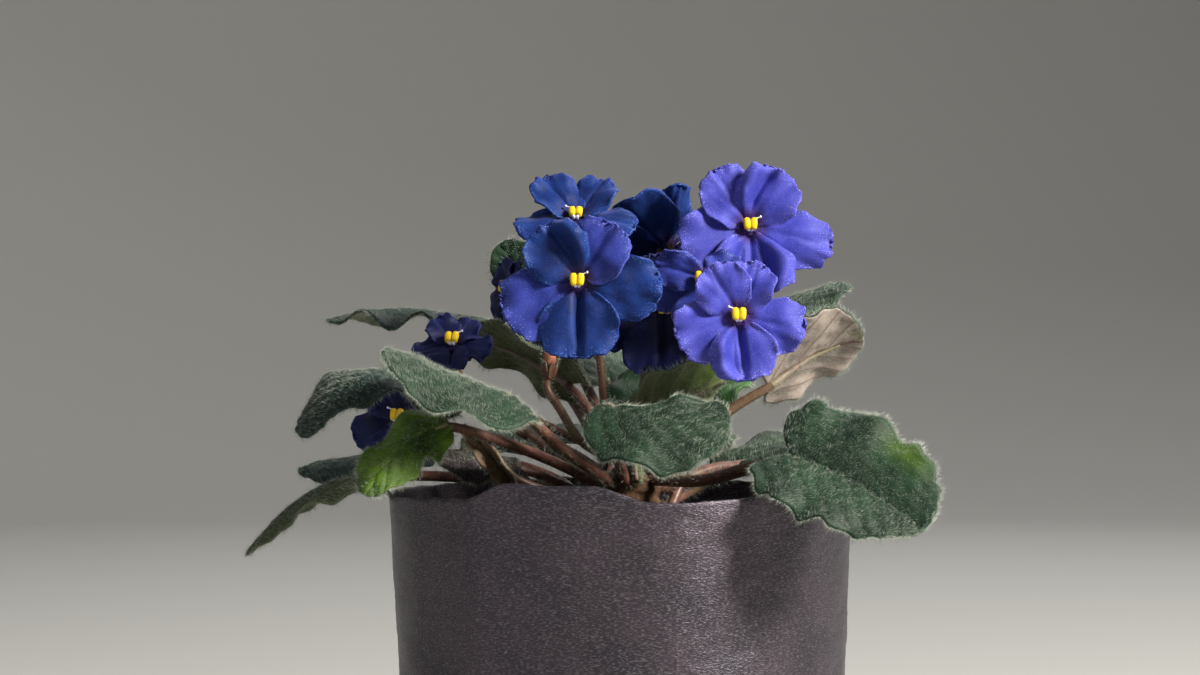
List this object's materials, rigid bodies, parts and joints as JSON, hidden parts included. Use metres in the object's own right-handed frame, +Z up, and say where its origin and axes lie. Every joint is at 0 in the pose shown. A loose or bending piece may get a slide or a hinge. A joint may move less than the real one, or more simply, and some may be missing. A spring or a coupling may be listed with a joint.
{
  "type": "potted african violet",
  "caption": "Flowering house plant: a rosette of hairy, wavy-edged leaves and violet blooms on short stalks, in a nursery pot inside a crinkled paper pot cover.",
  "frame": {"origin": "middle of the paper cover's flat foot, on the surface that the pot stands on", "axes": "+Z up, -Y towards the front of the plant, +X to the right as seen from the front"},
  "size_m": [0.1902, 0.161, 0.2068],
  "materials": {
    "cover_paper": "crinkled, slightly metallic",
    "pot_plastic": "matte",
    "soil": "crumbly, moist potting compost",
    "crown": "rough plant stem",
    "leaf": "soft and hairy, like velvet",
    "leaf_withered": "dull and hairy",
    "petal": "soft, with a fine sparkle",
    "anther": "smooth",
    "stalk": "hairy, pinkish brown"
  },
  "bodies": {
    "root": {"leaf_right_low": "leaf", "leaf_left_front": "leaf", "leaf_left_low": "leaf", "leaf_left_middle": "leaf", "leaf_left_drooping": "leaf", "leaf_back_left_high": "leaf", "leaf_left_high": "leaf", "leaf_back_left_upright": "leaf", "leaf_right_high": "leaf", "leaf_front": "leaf", "leaf_left_under": "leaf", "leaf_left_withered": "leaf_withered", "leaf_left_folded": "leaf", "leaf_front_right_folded": "leaf", "leaf_behind_flowers": "leaf", "leaf_back_right_high": "leaf", "leaf_right_middle": "leaf", "leaf_back_left_low": "leaf", "leaf_back_low": "leaf", "leaf_back_right_low": "leaf", "leaf_back_right_inner": "leaf", "leaf_back_inner": "leaf", "leaf_young": "leaf", "corolla_front_left": "petal", "anthers_front_left": "anther", "corolla_top_left": "petal", "anthers_top_left": "anther", "corolla_top_right": "petal", "anthers_top_right": "anther", "corolla_front_right": "petal", "anthers_front_right": "anther", "corolla_middle_right": "petal", "anthers_middle_right": "anther", "corolla_middle_low": "petal", "anthers_middle_low": "anther", "corolla_left_high": "petal", "anthers_left_high": "anther", "corolla_left_low": "petal", "anthers_left_low": "anther", "corolla_left_shaded": "petal", "anthers_left_shaded": "anther", "corolla_top_back": "petal", "anthers_top_back": "anther", "stalk_left": "stalk", "stalk_bud": "stalk", "stalk_right": "stalk", "stalk_middle": "stalk", "stalk_left_low": "stalk", "crown": "crown", "soil": "soil", "nursery_pot": "pot_plastic", "pot_cover": "cover_paper"}
  },
  "joints": []
}
